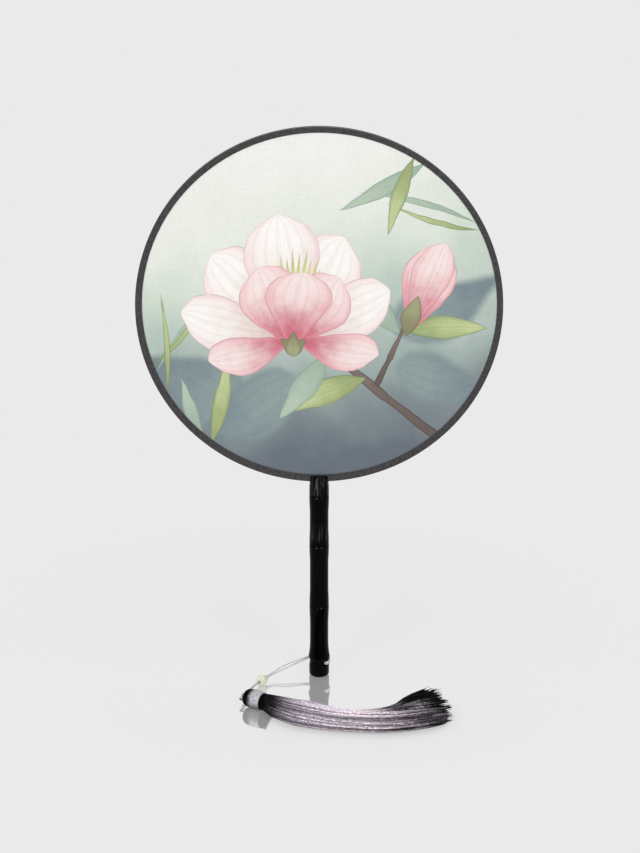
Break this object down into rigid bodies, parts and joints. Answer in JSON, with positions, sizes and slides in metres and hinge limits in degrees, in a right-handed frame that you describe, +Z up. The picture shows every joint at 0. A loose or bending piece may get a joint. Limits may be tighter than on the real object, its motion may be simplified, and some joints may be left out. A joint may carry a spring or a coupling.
{
  "type": "round silk hand fan",
  "caption": "Round silk hand fan with a cloth-bound rim, a black lacquered bamboo handle, and a jade bead and a silky thread tassel on a pale cord.",
  "frame": {"origin": "on the handle's axis in the grip, 75 mm above the handle's butt end", "axes": "+Z up along the handle towards the face, -Y the way the painted face looks, +X to the right of someone who looks at the painted face"},
  "size_m": [0.25, 0.1047, 0.4],
  "materials": {
    "lacquered_bamboo": "black gloss lacquer",
    "split_bamboo": "bare",
    "binding_tape": "charcoal woven tape, glued",
    "painted_silk": "fine plain weave, tinted",
    "pale_cord": "silky twisted cord",
    "jade": "polished, translucent",
    "black_thread": "tightly wound silky thread",
    "silver_thread": "tightly wound silky thread",
    "tassel_thread": "loose silky thread with a sheen"
  },
  "bodies": {
    "fan": {"handle": "lacquered_bamboo", "hoop": "split_bamboo", "rim_binding": "binding_tape", "front_silk": "painted_silk", "back_silk": "painted_silk", "tang": "split_bamboo", "cord_hitch": "pale_cord"},
    "cord": {"cord_upper": "pale_cord", "cord_lower": "pale_cord", "bead_knot": "pale_cord", "end_knot": "pale_cord", "end_link": "pale_cord"},
    "bead": {"jade_bead": "jade"},
    "tassel": {"tassel_eye": "black_thread", "tassel_crown": "black_thread", "tassel_band": "silver_thread", "neck_wrap": "black_thread", "tassel_skirt": "tassel_thread"}
  },
  "joints": [
    {"name": "cord_swing", "type": "hinge", "parent": "fan", "child": "cord", "pos_m": [-0.00566, 0.00674, -0.0638], "axis": [0, 0, 1], "range_deg": [-160, 15]},
    {"name": "bead_slide", "type": "slide", "parent": "cord", "child": "bead", "axis": [-0.541, -0.841, 0], "range_m": [0, 0.003]},
    {"name": "tassel_swing", "type": "hinge", "parent": "cord", "child": "tassel", "pos_m": [-0.05443, -0.04784, -0.0705], "axis": [0, 0, 1], "range_deg": [-60, 30]}
  ]
}
